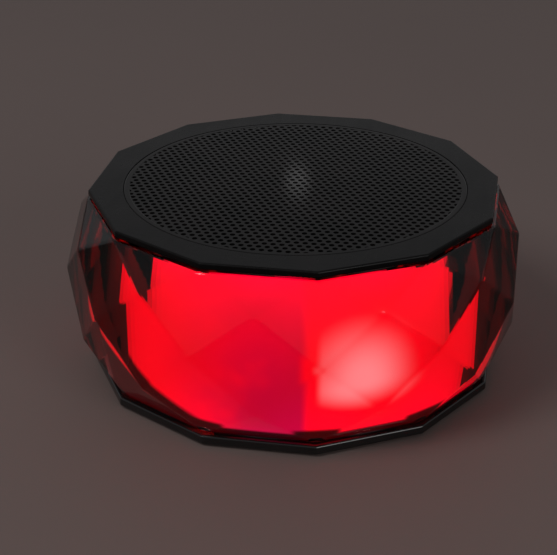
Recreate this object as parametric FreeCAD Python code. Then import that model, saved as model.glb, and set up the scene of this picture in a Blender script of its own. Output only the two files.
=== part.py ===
import FreeCAD, Part
import math
import os

# Faceted light-up speaker. Lengths are in millimetres and angles in degrees.
# The origin is the centre of the underside, +Z is up and the control panel is at the back, towards +Y.

# Crystal ring
facet_count = 12
girdle_radius = 60.0
crown_inset = 6.5
heel_inset = 7.0
girdle_rise = 23.8
rim_wall = 3.7

# Base tray, feet and seals
foot_height = 0.6
foot_pocket = 0.5
foot_radius = 6.0
foot_edge = 3.4
foot_angle = 45.0
tray_thickness = 2.4
tray_lip = 1.2
tray_rounding = 0.5
rib_wall = 1.2
rib_height = 2.0
rib_clearance = 0.3
seal_thickness = 0.4
seal_width = 2.4
seal_offset = 0.3

# Light sleeve
sleeve_clearance = 0.4
sleeve_wall = 1.6
sleeve_end_clearance = 0.2

# Inner housing, the chamber behind the driver
bay_height = 9.7
cup_margin = 7.0
cup_wall = 2.0
cup_floor = 2.0
boss_radius = 3.2
boss_edge = 0.4
baffle_boss_angle = 45.0
base_boss_angle = 72.0

# Top bezel with its baffle, and the grille
bezel_thickness = 1.8
bezel_inset = 0.3
bezel_rounding = 0.5
dish_clearance = 1.0
dish_wall = 2.0
baffle_thickness = 2.0
grille_thickness = 0.8
grille_ledge = 1.2
grille_clearance = 0.1
grille_room = 4.1
hole_radius = 1.2
hole_pitch = 4.6
hole_margin = 0.5
holes_per_ring = 6

# Loudspeaker driver
flange_radius = 29.0
flange_thickness = 1.0
flange_screw_inset = 1.8
lip_inset = 3.8
lip_width = 1.8
basket_depth = 16.1
basket_wall = 1.6
basket_step_height = 4.0
basket_floor = 1.0
basket_window_width = 16.0
basket_window_height = 8.0
basket_window_base = 5.5
basket_window_count = 4
opening_clearance = 0.2
gasket_thickness = 0.6
yoke_gap = 0.3
yoke_thickness = 2.5
magnet_thickness = 7.0
magnet_overhang = 1.0
plate_thickness = 2.5
plate_radius = 19.0
coil_radius = 10.2
coil_wall = 0.5
winding_height = 5.0
winding_depth = 0.3
winding_drop = 3.0
gap_clearance = 0.4
magnet_bore_step = 2.5
cone_wall = 0.6
cone_depth = 6.9
cone_rim = 1.6
coil_lap = 0.8
cap_overlap = 1.8
cap_rise = 4.2
cap_wall = 0.5
cap_seat_gap = 0.05
roll_width = 3.9
roll_wall = 0.5
spider_wall = 0.4
spider_lip = 2.2
spider_wave = 0.5
spider_wave_count = 6
spider_clearance = 0.05
tag_width = 8.0
tag_height = 3.6
tag_thickness = 1.2
tag_gap = 0.05

# Light strip and its light packages
strip_clearance = 0.05
strip_thickness = 0.25
strip_width = 10.0
strip_rise = 15.0
strip_tail_angle = 150.0
strip_tail_width = 6.0
light_count = 3
light_first_angle = 28.0
light_size = 5.0
light_thickness = 1.6
light_gap = 0.05

# Main board, battery and what they carry
board_thickness = 1.6
board_standoff = 1.5
board_half_width = 26.0
board_clearance = 0.6
board_rear = 40.0
board_post_radius = 2.4
front_post_spread = 16.0
rear_post_spread = 22.5
front_post_offset = 3.5
rear_post_edge = 5.6
tongue_half_width = 13.4
tongue_gap = 0.5
battery_length = 44.0
battery_width = 28.0
battery_thickness = 6.0
battery_margin = 1.0
battery_gap = 2.5
battery_rounding = 2.0
pad_thickness = 0.5
pad_border = 3.0
plug_width = 8.0
plug_depth = 4.6
plug_height = 2.6
plug_offset = 1.0
sound_chip_x = -7.0
sound_chip_back = 20.0
sound_chip_size = 9.0
sound_chip_height = 1.2
power_chip_x = 8.0
power_chip_back = 17.0
power_chip_width = 6.0
power_chip_depth = 5.0
power_chip_height = 1.4
timing_can_x = -18.0
timing_can_back = 20.0
timing_can_width = 3.2
timing_can_depth = 5.0
timing_can_height = 1.0
inductor_x = -17.0
inductor_back = 30.0
inductor_size = 4.0
inductor_height = 2.0
supply_capacitor_x = 17.0
supply_capacitor_back = 18.0
supply_capacitor_radius = 3.0
supply_capacitor_height = 4.0
output_capacitor_x = 10.5
output_capacitor_pitch = 6.5
output_capacitor_back = 27.0
output_capacitor_radius = 2.5
output_capacitor_height = 5.4
wire_radius = 0.6
wire_spread = 1.2
wire_hole_clearance = 0.3
speaker_wire_bend = 2.0
speaker_wire_reach = 2.4

# Control panel in the notch at the back
panel_width = 28.8
panel_height = 37.8
panel_thickness = 2.4
panel_clearance = 0.2
panel_screw_spread = 10.6
panel_screw_rise = 34.2
panel_boss_radius = 2.9
panel_fin_width = 1.6
panel_fin_depth = 2.0
panel_fin_drop = 0.3

# Buttons and the switches behind them
button_width = 7.4
button_height = 5.6
button_rounding = 1.4
button_edge = 0.4
button_pitch = 9.2
button_row_rise = 27.0
light_row_rise = 18.5
button_proud = 0.8
button_clearance = 0.2
button_flange = 1.0
button_flange_lip = 0.6
button_flange_gap = 0.2
switch_size = 4.6
switch_height = 2.0
switch_floor = 0.5
plunger_radius = 1.2
plunger_clearance = 0.1
plunger_rise = 1.0
plunger_depth = 0.8
button_board_thickness = 1.2
button_board_border = 4.2
board_leg_radius = 2.0
board_leg_spread = 10.8
board_leg_inset = 2.2
ribbon_width = 7.0
ribbon_thickness = 0.25
microphone_radius = 2.0
microphone_height = 1.4
boot_wall = 0.8
boot_clearance = 0.05
sound_hole_radius = 0.6
lens_radius = 1.0
lens_clearance = 0.05

# Sockets and the power switch
usb_x = -8.6
usb_width = 9.0
usb_height = 3.2
usb_length = 7.4
usb_rounding = 1.5
usb_wall = 0.35
usb_back = 1.2
usb_recess = 0.5
usb_tongue_width = 6.7
usb_tongue_height = 0.7
usb_tongue_length = 5.0
socket_clearance = 0.15
aux_x = 9.0
aux_width = 6.4
aux_height = 5.2
aux_length = 12.0
aux_nose_radius = 2.5
aux_bore_radius = 1.78
aux_bore_depth = 13.0
aux_recess = 0.2
power_x = 0.8
power_width = 6.6
power_height = 3.6
power_depth = 4.0
power_setback = 0.3
power_travel = 2.0
power_slot_depth = 1.8
knob_width = 1.8
knob_height = 1.8
knob_clearance = 0.15
knob_proud = 1.0
knob_ridge = 0.3

# Fasteners
screw_radius = 1.2
screw_head_radius = 2.1
screw_head_height = 1.4
screw_clearance = 0.05
screw_recess_width = 0.6
screw_recess_depth = 0.7
head_clearance = 0.2
head_setback = 0.1
base_screw_length = 8.0
baffle_screw_length = 9.0
panel_screw_length = 7.0
small_screw_radius = 0.9
small_head_radius = 1.7
small_head_height = 1.1
driver_screw_length = 2.8
board_screw_length = 4.2

# How far a cutting shape runs past the face it opens
overrun = 1.0

# Ring of the crystal's facets
half_step = math.radians(180.0 / facet_count)
flat_share = math.cos(half_step)
table_radius = girdle_radius - crown_inset
heel_radius = girdle_radius - heel_inset
table_flat = table_radius * flat_share
heel_flat = heel_radius * flat_share
girdle_flat = girdle_radius * flat_share
bore_radius = table_flat - rim_wall
bow = girdle_radius * math.sin(half_step) ** 2

# Heights, from the table up
tray_top = foot_height + tray_thickness
crystal_bottom = tray_top + seal_thickness
cup_bottom = tray_top + bay_height
cup_floor_top = cup_bottom + cup_floor
yoke_bottom = cup_floor_top + yoke_gap
yoke_top = yoke_bottom + yoke_thickness
magnet_top = yoke_top + magnet_thickness
plate_top = magnet_top + plate_thickness
flange_bottom = plate_top + basket_depth
flange_top = flange_bottom + flange_thickness
baffle_top = flange_bottom - gasket_thickness
baffle_bottom = baffle_top - baffle_thickness
grille_bottom = flange_top + grille_room
bezel_top = grille_bottom + grille_thickness
bezel_bottom = bezel_top - bezel_thickness
crystal_top = bezel_bottom - seal_thickness
girdle_height = crystal_bottom + girdle_rise
upper_height = girdle_height + (crystal_top - girdle_height) * bow / crown_inset
lower_height = girdle_height - (girdle_height - crystal_bottom) * bow / heel_inset
strip_bottom = tray_top + strip_rise
board_bottom = tray_top + board_standoff
board_top = board_bottom + board_thickness

# Radii, from the crystal's bore inwards
sleeve_outer = bore_radius - sleeve_clearance
sleeve_inner = sleeve_outer - sleeve_wall
rib_outer = sleeve_inner - rib_clearance
rib_inner = rib_outer - rib_wall
seal_inner = bore_radius + seal_offset
seal_outer = seal_inner + seal_width
dish_outer = sleeve_inner - dish_clearance
dish_inner = dish_outer - dish_wall
grille_radius = dish_inner + grille_ledge
cup_radius = flange_radius + cup_margin
cup_inner = cup_radius - cup_wall
boss_circle = cup_radius - boss_radius - boss_edge
strip_inner = cup_radius + strip_clearance
strip_outer = strip_inner + strip_thickness
light_inner = strip_outer + light_gap
foot_circle = heel_flat - foot_edge - foot_radius

# Driver radii, from the flange inwards and from the coil outwards
flange_screw_circle = flange_radius - flange_screw_inset
lip_outer = flange_radius - lip_inset
flange_inner = lip_outer - lip_width
basket_outer = flange_inner + basket_wall
opening_radius = basket_outer + opening_clearance
cone_outer = flange_inner - roll_width
cone_inner = cone_outer - cone_rim
basket_foot = plate_radius + flange_screw_inset
ledge_outer = basket_foot - cone_wall
ledge_inner = ledge_outer - spider_lip
coil_inner = coil_radius - coil_wall
winding_radius = coil_radius + winding_depth
pole_radius = coil_inner - gap_clearance
plate_bore = winding_radius + gap_clearance
magnet_bore = plate_bore + magnet_bore_step
spider_height = plate_top + basket_step_height
cone_neck = flange_top - cone_depth

# Planes of the rear controls, from the panel inwards
panel_half = panel_width / 2
notch_half = panel_half + panel_clearance
panel_top = tray_top + panel_height
notch_top = panel_top + panel_clearance
panel_face = table_flat
panel_back = panel_face - panel_thickness
switch_room = switch_height + plunger_rise + button_flange + button_flange_gap
button_board_front = panel_back - switch_room
button_board_back = button_board_front - button_board_thickness
button_row = tray_top + button_row_rise
light_row = tray_top + light_row_rise
button_board_base = light_row - button_board_border
button_board_crest = button_row + button_board_border
panel_screw_height = tray_top + panel_screw_rise
usb_centre = board_top + usb_height / 2
aux_centre = board_top + aux_height / 2
knob_centre = board_top + power_height / 2

# Main board and battery, from the front rim backwards
board_radius = rib_inner - board_clearance
battery_reach = rib_inner - battery_margin
battery_front = -math.sqrt(battery_reach ** 2 - (battery_length / 2) ** 2)
battery_back = battery_front + battery_width
battery_bottom = tray_top + pad_thickness
board_front = battery_back + battery_gap
plug_front = board_front + plug_offset
plug_middle = board_top + plug_height / 2
rear_post_circle = board_radius - rear_post_edge
rear_post_place = math.sqrt(rear_post_circle ** 2 - rear_post_spread ** 2)

up = FreeCAD.Vector(0, 0, 1)
rearward = FreeCAD.Vector(0, 1, 0)
origin = FreeCAD.Vector(0, 0, 0)


def point(x, y, z):
    return FreeCAD.Vector(x, y, z)


def polar(radius, angle, z=0.0):
    # Angle 0 faces the front and 90 faces +X.
    turn = math.radians(angle)
    return point(radius * math.sin(turn), -radius * math.cos(turn), z)


def corner(radius, step, z):
    # Corners straddle the axes, so that flat sides face the front, the back and both sides.
    return polar(radius, (step + 0.5) * 360.0 / facet_count, z)


def block(x0, x1, y0, y1, z0, z1):
    return Part.makeBox(x1 - x0, y1 - y0, z1 - z0, point(x0, y0, z0))


def column(radius, z0, z1, place=origin):
    return Part.makeCylinder(radius, z1 - z0, point(place.x, place.y, z0), up)


def rod(radius, y0, y1, x, z):
    return Part.makeCylinder(radius, y1 - y0, point(x, y0, z), rearward)


def ring(outer, inner, z0, z1):
    return column(outer, z0, z1).cut(column(inner, z0, z1))


def outline(points):
    return Part.makePolygon(list(points) + [points[0]])


def prism(radius, z0, z1):
    corners = [corner(radius, step, z0) for step in range(facet_count)]
    return Part.Face(outline(corners)).extrude(up * (z1 - z0))


def turned(points):
    profile = [point(radius, 0, z) for radius, z in points]
    return Part.Face(outline(profile)).revolve(origin, up, 360)


def rounded_bar(width, height, rounding, y0, y1, x, z):
    bar = block(x - width / 2, x + width / 2, y0, y1, z - height / 2, z + height / 2)
    long_edges = [edge for edge in bar.Edges if abs(edge.tangentAt(edge.FirstParameter).y) > 0.9]
    return bar.makeFillet(rounding, long_edges)


def around(shape, count, first_angle=0.0):
    copies = []
    for index in range(count):
        copy = shape.copy()
        copy.rotate(origin, up, first_angle + index * 360.0 / count)
        copies.append(copy)
    return copies


def mirrored(places):
    return [point(side * place.x, place.y, place.z) for place in places for side in (-1, 1)]


def rear_notch():
    return block(-notch_half, notch_half, 0.0, girdle_radius + overrun, tray_top - overrun, notch_top)


def cut_all(shape, tools):
    for tool in tools:
        shape = shape.cut(tool)
    return shape


def fuse_all(shape, others):
    for other in others:
        shape = shape.fuse(other)
    return shape.removeSplitter()


def screw(radius, length, head_radius, head_height):
    # Head above the XY plane, shank below it, cross recess in the head.
    body = column(radius, -length, 0.0).fuse(column(head_radius, 0.0, head_height))
    floor = head_height - screw_recess_depth
    half = screw_recess_width / 2
    arm = head_radius - screw_recess_width
    body = body.cut(block(-arm, arm, -half, half, floor, head_height + overrun))
    return body.cut(block(-half, half, -arm, arm, floor, head_height + overrun)).removeSplitter()


def placed(shape, place):
    copy = shape.copy()
    copy.translate(place)
    return copy


def boss_places(angle, radius):
    return mirrored([polar(radius, angle), polar(radius, 180.0 - angle)])


def board_screw_places():
    front = point(front_post_spread, board_front + front_post_offset, 0)
    rear = point(rear_post_spread, rear_post_place, 0)
    return mirrored([front, rear])


def flange_screw_places():
    return [polar(flange_screw_circle, 90.0 * index) for index in range(4)]


def button_places():
    return {
        "minus_button": point(-button_pitch, 0, button_row),
        "play_button": point(0, 0, button_row),
        "plus_button": point(button_pitch, 0, button_row),
        "light_button": point(0, 0, light_row),
    }


def crystal_shell():
    # Five facets for each step: star, upper kite, girdle rhomb, lower kite and heel triangle.
    faces = []
    for step in range(facet_count):
        top = corner(table_radius, step, crystal_top)
        next_top = corner(table_radius, step + 1, crystal_top)
        girdle = corner(girdle_radius, step, girdle_height)
        next_girdle = corner(girdle_radius, step + 1, girdle_height)
        heel = corner(heel_radius, step, crystal_bottom)
        next_heel = corner(heel_radius, step + 1, crystal_bottom)
        upper = corner(girdle_flat, step + 0.5, upper_height)
        last_upper = corner(girdle_flat, step - 0.5, upper_height)
        lower = corner(girdle_flat, step + 0.5, lower_height)
        last_lower = corner(girdle_flat, step - 0.5, lower_height)
        facets = [
            (top, upper, next_top),
            (top, last_upper, girdle, upper),
            (upper, girdle, lower, next_girdle),
            (girdle, last_lower, heel, lower),
            (heel, next_heel, lower),
        ]
        faces += [Part.Face(outline(facet)) for facet in facets]
    for radius, z in ((table_radius, crystal_top), (heel_radius, crystal_bottom)):
        faces.append(Part.Face(outline([corner(radius, step, z) for step in range(facet_count)])))
    gem = Part.makeSolid(Part.makeShell(faces))
    if gem.Volume < 0:
        gem.reverse()
    bore = column(bore_radius, crystal_bottom - overrun, crystal_top + overrun)
    return gem.cut(bore).cut(rear_notch())


def upper_seal():
    return ring(seal_outer, seal_inner, crystal_top, bezel_bottom)


def lower_seal():
    return ring(seal_outer, seal_inner, tray_top, crystal_bottom).cut(rear_notch())


def light_sleeve():
    sleeve = ring(sleeve_outer, sleeve_inner, tray_top, bezel_bottom - sleeve_end_clearance)
    return sleeve.cut(rear_notch())


def base_tray():
    plate = prism(heel_radius + tray_lip, foot_height, tray_top)
    plate = plate.makeFillet(tray_rounding, plate.Edges)
    rib = ring(rib_outer, rib_inner, tray_top, tray_top + rib_height)
    rib = rib.cut(rear_notch())
    posts = [column(board_post_radius, tray_top, board_bottom, place) for place in board_screw_places()]
    plate = fuse_all(plate, [rib] + posts)
    recess_top = foot_height + head_setback + screw_head_height
    for place in boss_places(base_boss_angle, boss_circle):
        plate = plate.cut(column(screw_radius + screw_clearance, foot_height, tray_top + overrun, place))
        head_hole = column(screw_head_radius + head_clearance, foot_height - overrun, recess_top, place)
        plate = plate.cut(head_hole)
    for place in boss_places(foot_angle, foot_circle):
        plate = plate.cut(column(foot_radius, foot_height - overrun, foot_height + foot_pocket, place))
    for place in board_screw_places():
        pilot = small_screw_radius + screw_clearance
        plate = plate.cut(column(pilot, board_top - board_screw_length - head_setback, board_top, place))
    return plate


def rubber_feet():
    places = boss_places(foot_angle, foot_circle)
    return Part.makeCompound([column(foot_radius, 0.0, foot_height + foot_pocket, place) for place in places])


def base_screws():
    turned_screw = screw(screw_radius, base_screw_length, screw_head_radius, screw_head_height)
    turned_screw.rotate(origin, point(1, 0, 0), 180)
    seat = foot_height + head_setback + screw_head_height
    places = boss_places(base_boss_angle, boss_circle)
    return Part.makeCompound([placed(turned_screw, point(p.x, p.y, seat)) for p in places])


def inner_housing():
    cup = column(cup_radius, cup_bottom, baffle_bottom)
    legs = [rod(board_leg_radius, 0.0, button_board_back, p.x, p.z) for p in board_leg_places()]
    bosses = [rod(panel_boss_radius, 0.0, panel_back, p.x, p.z) for p in panel_screw_places()]
    cup = fuse_all(cup, legs + bosses + panel_fins())
    cup = cup.cut(column(cup_inner, cup_floor_top, baffle_bottom + overrun))
    inside = boss_places(baffle_boss_angle, boss_circle)
    below = boss_places(base_boss_angle, boss_circle)
    columns = [column(boss_radius, cup_floor_top, baffle_bottom, place) for place in inside]
    columns += [column(boss_radius, tray_top, cup_bottom, place) for place in below]
    cup = fuse_all(cup, columns)
    pilot = screw_radius + screw_clearance
    for place in inside:
        cup = cup.cut(column(pilot, baffle_top - baffle_screw_length - overrun, baffle_bottom, place))
    for place in below:
        cup = cup.cut(column(pilot, tray_top, tray_top + base_screw_length, place))
    for place in panel_screw_places():
        cup = cup.cut(rod(pilot, panel_face - panel_screw_length - overrun, panel_back, place.x, place.z))
    for place in speaker_wire_places():
        hole = wire_radius + wire_hole_clearance
        cup = cup.cut(column(hole, cup_bottom - overrun, cup_floor_top + overrun, place))
    return cup


def top_bezel():
    flange = prism(table_radius - bezel_inset, bezel_bottom, bezel_top)
    flange = flange.makeFillet(bezel_rounding, flange.Edges)
    bezel = flange.fuse(column(dish_outer, baffle_bottom, bezel_bottom)).removeSplitter()
    bezel = bezel.cut(column(dish_inner, baffle_top, bezel_top + overrun))
    bezel = bezel.cut(column(grille_radius + grille_clearance, grille_bottom, bezel_top + overrun))
    bezel = bezel.cut(column(opening_radius, baffle_bottom - overrun, baffle_top + overrun))
    for place in boss_places(baffle_boss_angle, boss_circle):
        hole = screw_radius + screw_clearance
        bezel = bezel.cut(column(hole, baffle_bottom - overrun, baffle_top + overrun, place))
    for place in flange_screw_places():
        hole = small_screw_radius + screw_clearance
        bezel = bezel.cut(column(hole, baffle_bottom - overrun, baffle_top + overrun, place))
    return bezel


def baffle_screws():
    one = screw(screw_radius, baffle_screw_length, screw_head_radius, screw_head_height)
    places = boss_places(baffle_boss_angle, boss_circle)
    return Part.makeCompound([placed(one, point(p.x, p.y, baffle_top)) for p in places])


def speaker_grille():
    # Rings of round holes, six more in each ring than in the one inside it.
    rim = Part.Wire(Part.makeCircle(grille_radius, point(0, 0, grille_bottom)))
    holes = [Part.Wire(Part.makeCircle(hole_radius, point(0, 0, grille_bottom)))]
    ring_count = int((dish_inner - hole_radius - hole_margin) / hole_pitch)
    for index in range(1, ring_count + 1):
        in_ring = holes_per_ring * index
        for number in range(in_ring):
            centre = polar(index * hole_pitch, number * 360.0 / in_ring, grille_bottom)
            holes.append(Part.Wire(Part.makeCircle(hole_radius, centre)))
    return Part.makeFace([rim] + holes, "Part::FaceMakerBullseye").extrude(up * grille_thickness)


def driver_frame():
    basket = turned([
        (flange_radius, flange_top),
        (flange_radius, flange_bottom),
        (basket_outer, flange_bottom),
        (basket_foot, spider_height),
        (basket_foot, plate_top),
        (plate_bore, plate_top),
        (plate_bore, plate_top + basket_floor),
        (ledge_inner, plate_top + basket_floor),
        (ledge_inner, spider_height),
        (ledge_outer, spider_height),
        (flange_inner, flange_bottom - basket_wall),
        (flange_inner, flange_top),
    ])
    window_bottom = plate_top + basket_window_base
    half = basket_window_width / 2
    window = block(-half, half, -flange_radius, -ledge_inner, window_bottom, window_bottom + basket_window_height)
    basket = cut_all(basket, around(window, basket_window_count, 180.0 / basket_window_count))
    hole = small_screw_radius + screw_clearance
    tools = [column(hole, flange_bottom - overrun, flange_top + overrun, p) for p in flange_screw_places()]
    return cut_all(basket, tools)


def driver_gasket():
    hole = small_screw_radius + screw_clearance
    tools = [column(hole, baffle_top, flange_bottom, place) for place in flange_screw_places()]
    return cut_all(ring(flange_radius, opening_radius, baffle_top, flange_bottom), tools)


def driver_screws():
    one = screw(small_screw_radius, driver_screw_length, small_head_radius, small_head_height)
    return Part.makeCompound([placed(one, point(p.x, p.y, flange_top)) for p in flange_screw_places()])


def cone_surround():
    # Flat lips on the flange and the cone's rim, with a half roll between them.
    middle = (flange_inner + cone_outer) / 2
    outer_arc = roll_width / 2
    inner_arc = outer_arc - roll_wall
    reach = math.sqrt(outer_arc ** 2 - roll_wall ** 2)
    lip_top = flange_top + roll_wall
    low = [
        point(cone_inner, 0, flange_top),
        point(middle - inner_arc, 0, flange_top),
        point(middle, 0, flange_top + inner_arc),
        point(middle + inner_arc, 0, flange_top),
        point(lip_outer, 0, flange_top),
    ]
    high = [
        point(lip_outer, 0, lip_top),
        point(middle + reach, 0, lip_top),
        point(middle, 0, flange_top + outer_arc),
        point(middle - reach, 0, lip_top),
        point(cone_inner, 0, lip_top),
    ]
    edges = []
    for row in (low, high):
        edges.append(Part.makeLine(row[0], row[1]))
        edges.append(Part.Arc(row[1], row[2], row[3]).toShape())
        edges.append(Part.makeLine(row[3], row[4]))
    edges.insert(3, Part.makeLine(low[-1], high[0]))
    edges.append(Part.makeLine(high[-1], low[0]))
    return Part.Face(Part.Wire(edges)).revolve(origin, up, 360)


def speaker_cone():
    return turned([
        (cone_outer, flange_top),
        (cone_outer, flange_top - cone_wall),
        (cone_inner, flange_top - cone_wall),
        (coil_radius, cone_neck - cone_wall),
        (coil_radius, cone_neck),
        (cone_inner, flange_top),
    ])


def dust_cap():
    # Spherical cap standing on the cone just outside the coil.
    base_radius = coil_radius + cap_overlap
    slope = cone_depth / (cone_inner - coil_radius)
    base = cone_neck + cap_overlap * slope + cap_seat_gap
    bend = (base_radius ** 2 + cap_rise ** 2) / (2 * cap_rise)
    centre = point(0, 0, base + cap_rise - bend)
    shell = Part.makeSphere(bend, centre).cut(Part.makeSphere(bend - cap_wall, centre))
    above = column(base_radius + overrun, base, base + cap_rise + overrun)
    return shell.common(above)


def voice_coil():
    top = cone_neck - cone_wall + coil_lap
    bottom = plate_top - winding_drop
    return turned([
        (coil_inner, top),
        (coil_inner, bottom),
        (winding_radius, bottom),
        (winding_radius, bottom + winding_height),
        (coil_radius, bottom + winding_height),
        (coil_radius, top),
    ])


def spider():
    # Corrugated disc between the coil and the ledge of the frame.
    start = coil_radius + spider_clearance
    step = (ledge_inner - start) / spider_wave_count
    under = [(ledge_outer, spider_height), (ledge_inner, spider_height)]
    for index in range(1, spider_wave_count):
        rise = spider_wave if index % 2 else 0.0
        under.append((ledge_inner - index * step, spider_height + rise))
    under.append((start, spider_height))
    over = [(radius, z + spider_wall) for radius, z in reversed(under)]
    return turned(under + over)


def pole_yoke():
    return turned([
        (0.0, yoke_bottom),
        (plate_radius, yoke_bottom),
        (plate_radius, yoke_top),
        (pole_radius, yoke_top),
        (pole_radius, plate_top),
        (0.0, plate_top),
    ])


def ring_magnet():
    return ring(plate_radius + magnet_overhang, magnet_bore, yoke_top, magnet_top)


def top_plate():
    return ring(plate_radius, plate_bore, magnet_top, plate_top)


def terminal_strip():
    inner = basket_foot + tag_gap
    base = spider_height - tag_height
    return block(-inner - tag_thickness, -inner, -tag_width / 2, tag_width / 2, base, spider_height)


def speaker_wire_places():
    reach = basket_foot + tag_gap + tag_thickness + speaker_wire_reach
    return [point(-reach, side * wire_spread, 0) for side in (-1, 1)]


def speaker_wires():
    # Out from the terminal strip, round one bend and down through the housing's floor to the board.
    start_height = spider_height - tag_height / 2
    wires = []
    for place in speaker_wire_places():
        start = point(place.x + speaker_wire_reach, place.y, start_height)
        bend_start = point(place.x + speaker_wire_bend, place.y, start_height)
        middle = speaker_wire_bend * (1 - math.sqrt(0.5))
        bend_middle = point(place.x + middle, place.y, start_height - middle)
        bend_end = point(place.x, place.y, start_height - speaker_wire_bend)
        end = point(place.x, place.y, board_top + plug_height)
        arc = Part.Arc(bend_start, bend_middle, bend_end).toShape()
        path = Part.Wire([Part.makeLine(start, bend_start), arc, Part.makeLine(bend_end, end)])
        section = Part.Wire(Part.makeCircle(wire_radius, start, point(-1, 0, 0)))
        wires.append(path.makePipeShell([section], True, False))
    return Part.makeCompound(wires)


def light_strip():
    # Open band round the housing, with a tail that runs down to the main board.
    band = ring(strip_outer, strip_inner, strip_bottom, strip_bottom + strip_width)
    band = band.cut(rear_notch())
    tail = ring(strip_outer, strip_inner, board_top, strip_bottom)
    half = strip_tail_width / 2
    window = block(-half, half, -strip_outer - overrun, 0.0, board_top, strip_bottom)
    window.rotate(origin, up, strip_tail_angle)
    return band.fuse(tail.common(window)).removeSplitter()


def light_packages():
    half = light_size / 2
    middle = strip_bottom + strip_width / 2
    one = block(-half, half, -light_inner - light_thickness, -light_inner, middle - half, middle + half)
    return Part.makeCompound(around(one, light_count, light_first_angle))


def main_board():
    disc = column(board_radius, board_bottom, board_top)
    sheet = block(-board_half_width, board_half_width, board_front, board_rear, board_bottom, board_top)
    tongue_end = panel_back - tongue_gap
    tongue = block(-tongue_half_width, tongue_half_width, board_front, tongue_end, board_bottom, board_top)
    board = disc.common(sheet).fuse(tongue).removeSplitter()
    hole = small_screw_radius + screw_clearance
    tools = [column(hole, board_bottom - overrun, board_top + overrun, p) for p in board_screw_places()]
    return cut_all(board, tools)


def board_screws():
    one = screw(small_screw_radius, board_screw_length, small_head_radius, small_head_height)
    return Part.makeCompound([placed(one, point(p.x, p.y, board_top)) for p in board_screw_places()])


def chip(x, back, width, depth, height):
    y = board_front + back
    return block(x - width / 2, x + width / 2, y - depth / 2, y + depth / 2, board_top, board_top + height)


def can(x, back, radius, height):
    return column(radius, board_top, board_top + height, point(x, board_front + back, 0))


def board_components():
    parts = [chip(sound_chip_x, sound_chip_back, sound_chip_size, sound_chip_size, sound_chip_height)]
    parts.append(chip(power_chip_x, power_chip_back, power_chip_width, power_chip_depth, power_chip_height))
    parts.append(chip(timing_can_x, timing_can_back, timing_can_width, timing_can_depth, timing_can_height))
    parts.append(chip(inductor_x, inductor_back, inductor_size, inductor_size, inductor_height))
    parts.append(can(supply_capacitor_x, supply_capacitor_back, supply_capacitor_radius, supply_capacitor_height))
    for x in (output_capacitor_x, output_capacitor_x + output_capacitor_pitch):
        parts.append(can(x, output_capacitor_back, output_capacitor_radius, output_capacitor_height))
    parts.append(battery_plug())
    parts.append(speaker_plug())
    return Part.makeCompound(parts)


def battery_plug():
    half = plug_width / 2
    return block(-half, half, plug_front, plug_front + plug_depth, board_top, board_top + plug_height)


def speaker_plug():
    place = speaker_wire_places()[0]
    half = wire_spread + wire_radius
    return block(place.x - half, place.x + half, -half, half, board_top, board_top + plug_height)


def battery_cell():
    half = battery_length / 2
    z1 = battery_bottom + battery_thickness
    cell = block(-half, half, battery_front, battery_back, battery_bottom, z1)
    long_edges = [edge for edge in cell.Edges if abs(edge.tangentAt(edge.FirstParameter).y) > 0.9]
    return cell.makeFillet(battery_rounding, long_edges)


def battery_pad():
    half = battery_length / 2 - pad_border
    front = battery_front + pad_border
    back = battery_back - pad_border
    return block(-half, half, front, back, tray_top, battery_bottom)


def battery_wires():
    wires = [rod(wire_radius, battery_back, plug_front, side * wire_spread, plug_middle) for side in (-1, 1)]
    return Part.makeCompound(wires)


def panel_screw_places():
    return mirrored([point(panel_screw_spread, 0, panel_screw_height)])


def panel_fins():
    # Upstands on the panel's bosses that back the panel's top edge.
    half = panel_fin_width / 2
    front = panel_back - panel_fin_depth
    top = panel_top - panel_fin_drop
    return [block(p.x - half, p.x + half, front, panel_back, p.z, top) for p in panel_screw_places()]


def control_panel():
    plate = block(-panel_half, panel_half, panel_back, panel_face, tray_top, panel_top)
    back = panel_back - overrun
    front = panel_face + overrun
    width = button_width + 2 * button_clearance
    height = button_height + 2 * button_clearance
    rounding = button_rounding + button_clearance
    tools = [rounded_bar(width, height, rounding, back, front, p.x, p.z) for p in button_places().values()]
    usb = 2 * socket_clearance
    tools.append(rounded_bar(usb_width + usb, usb_height + usb, usb_rounding, back, front, usb_x, usb_centre))
    tools.append(rod(aux_nose_radius + socket_clearance, back, front, aux_x, aux_centre))
    slot = power_slot(back, front)
    tools.append(slot)
    tools.append(rod(sound_hole_radius, back, front, button_pitch, light_row))
    tools.append(rod(lens_radius + lens_clearance, back, front, -button_pitch, light_row))
    for place in panel_screw_places():
        head_seat = panel_face - head_setback - screw_head_height
        tools.append(rod(screw_radius + screw_clearance, back, front, place.x, place.z))
        tools.append(rod(screw_head_radius + head_clearance, head_seat, front, place.x, place.z))
    return cut_all(plate, tools)


def panel_screws():
    one = screw(screw_radius, panel_screw_length - head_setback - screw_head_height,
                screw_head_radius, screw_head_height)
    one.rotate(origin, point(1, 0, 0), -90)
    seat = panel_face - head_setback - screw_head_height
    return Part.makeCompound([placed(one, point(p.x, seat, p.z)) for p in panel_screw_places()])


def button(place):
    # Cap through the panel, with a wider flange behind it that keeps it in.
    flange_back = button_board_front + switch_height + plunger_rise
    flange_front = flange_back + button_flange
    cap_front = panel_face + button_proud
    cap = rounded_bar(button_width, button_height, button_rounding, flange_back, cap_front, place.x, place.z)
    rim = [edge for edge in cap.Edges if all(abs(v.Y - cap_front) < 1e-6 for v in edge.Vertexes)]
    cap = cap.makeFillet(button_edge, rim)
    wide = button_width + 2 * button_flange_lip
    tall = button_height + 2 * button_flange_lip
    flange = rounded_bar(wide, tall, button_rounding, flange_back, flange_front, place.x, place.z)
    return cap.fuse(flange).removeSplitter()


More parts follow.
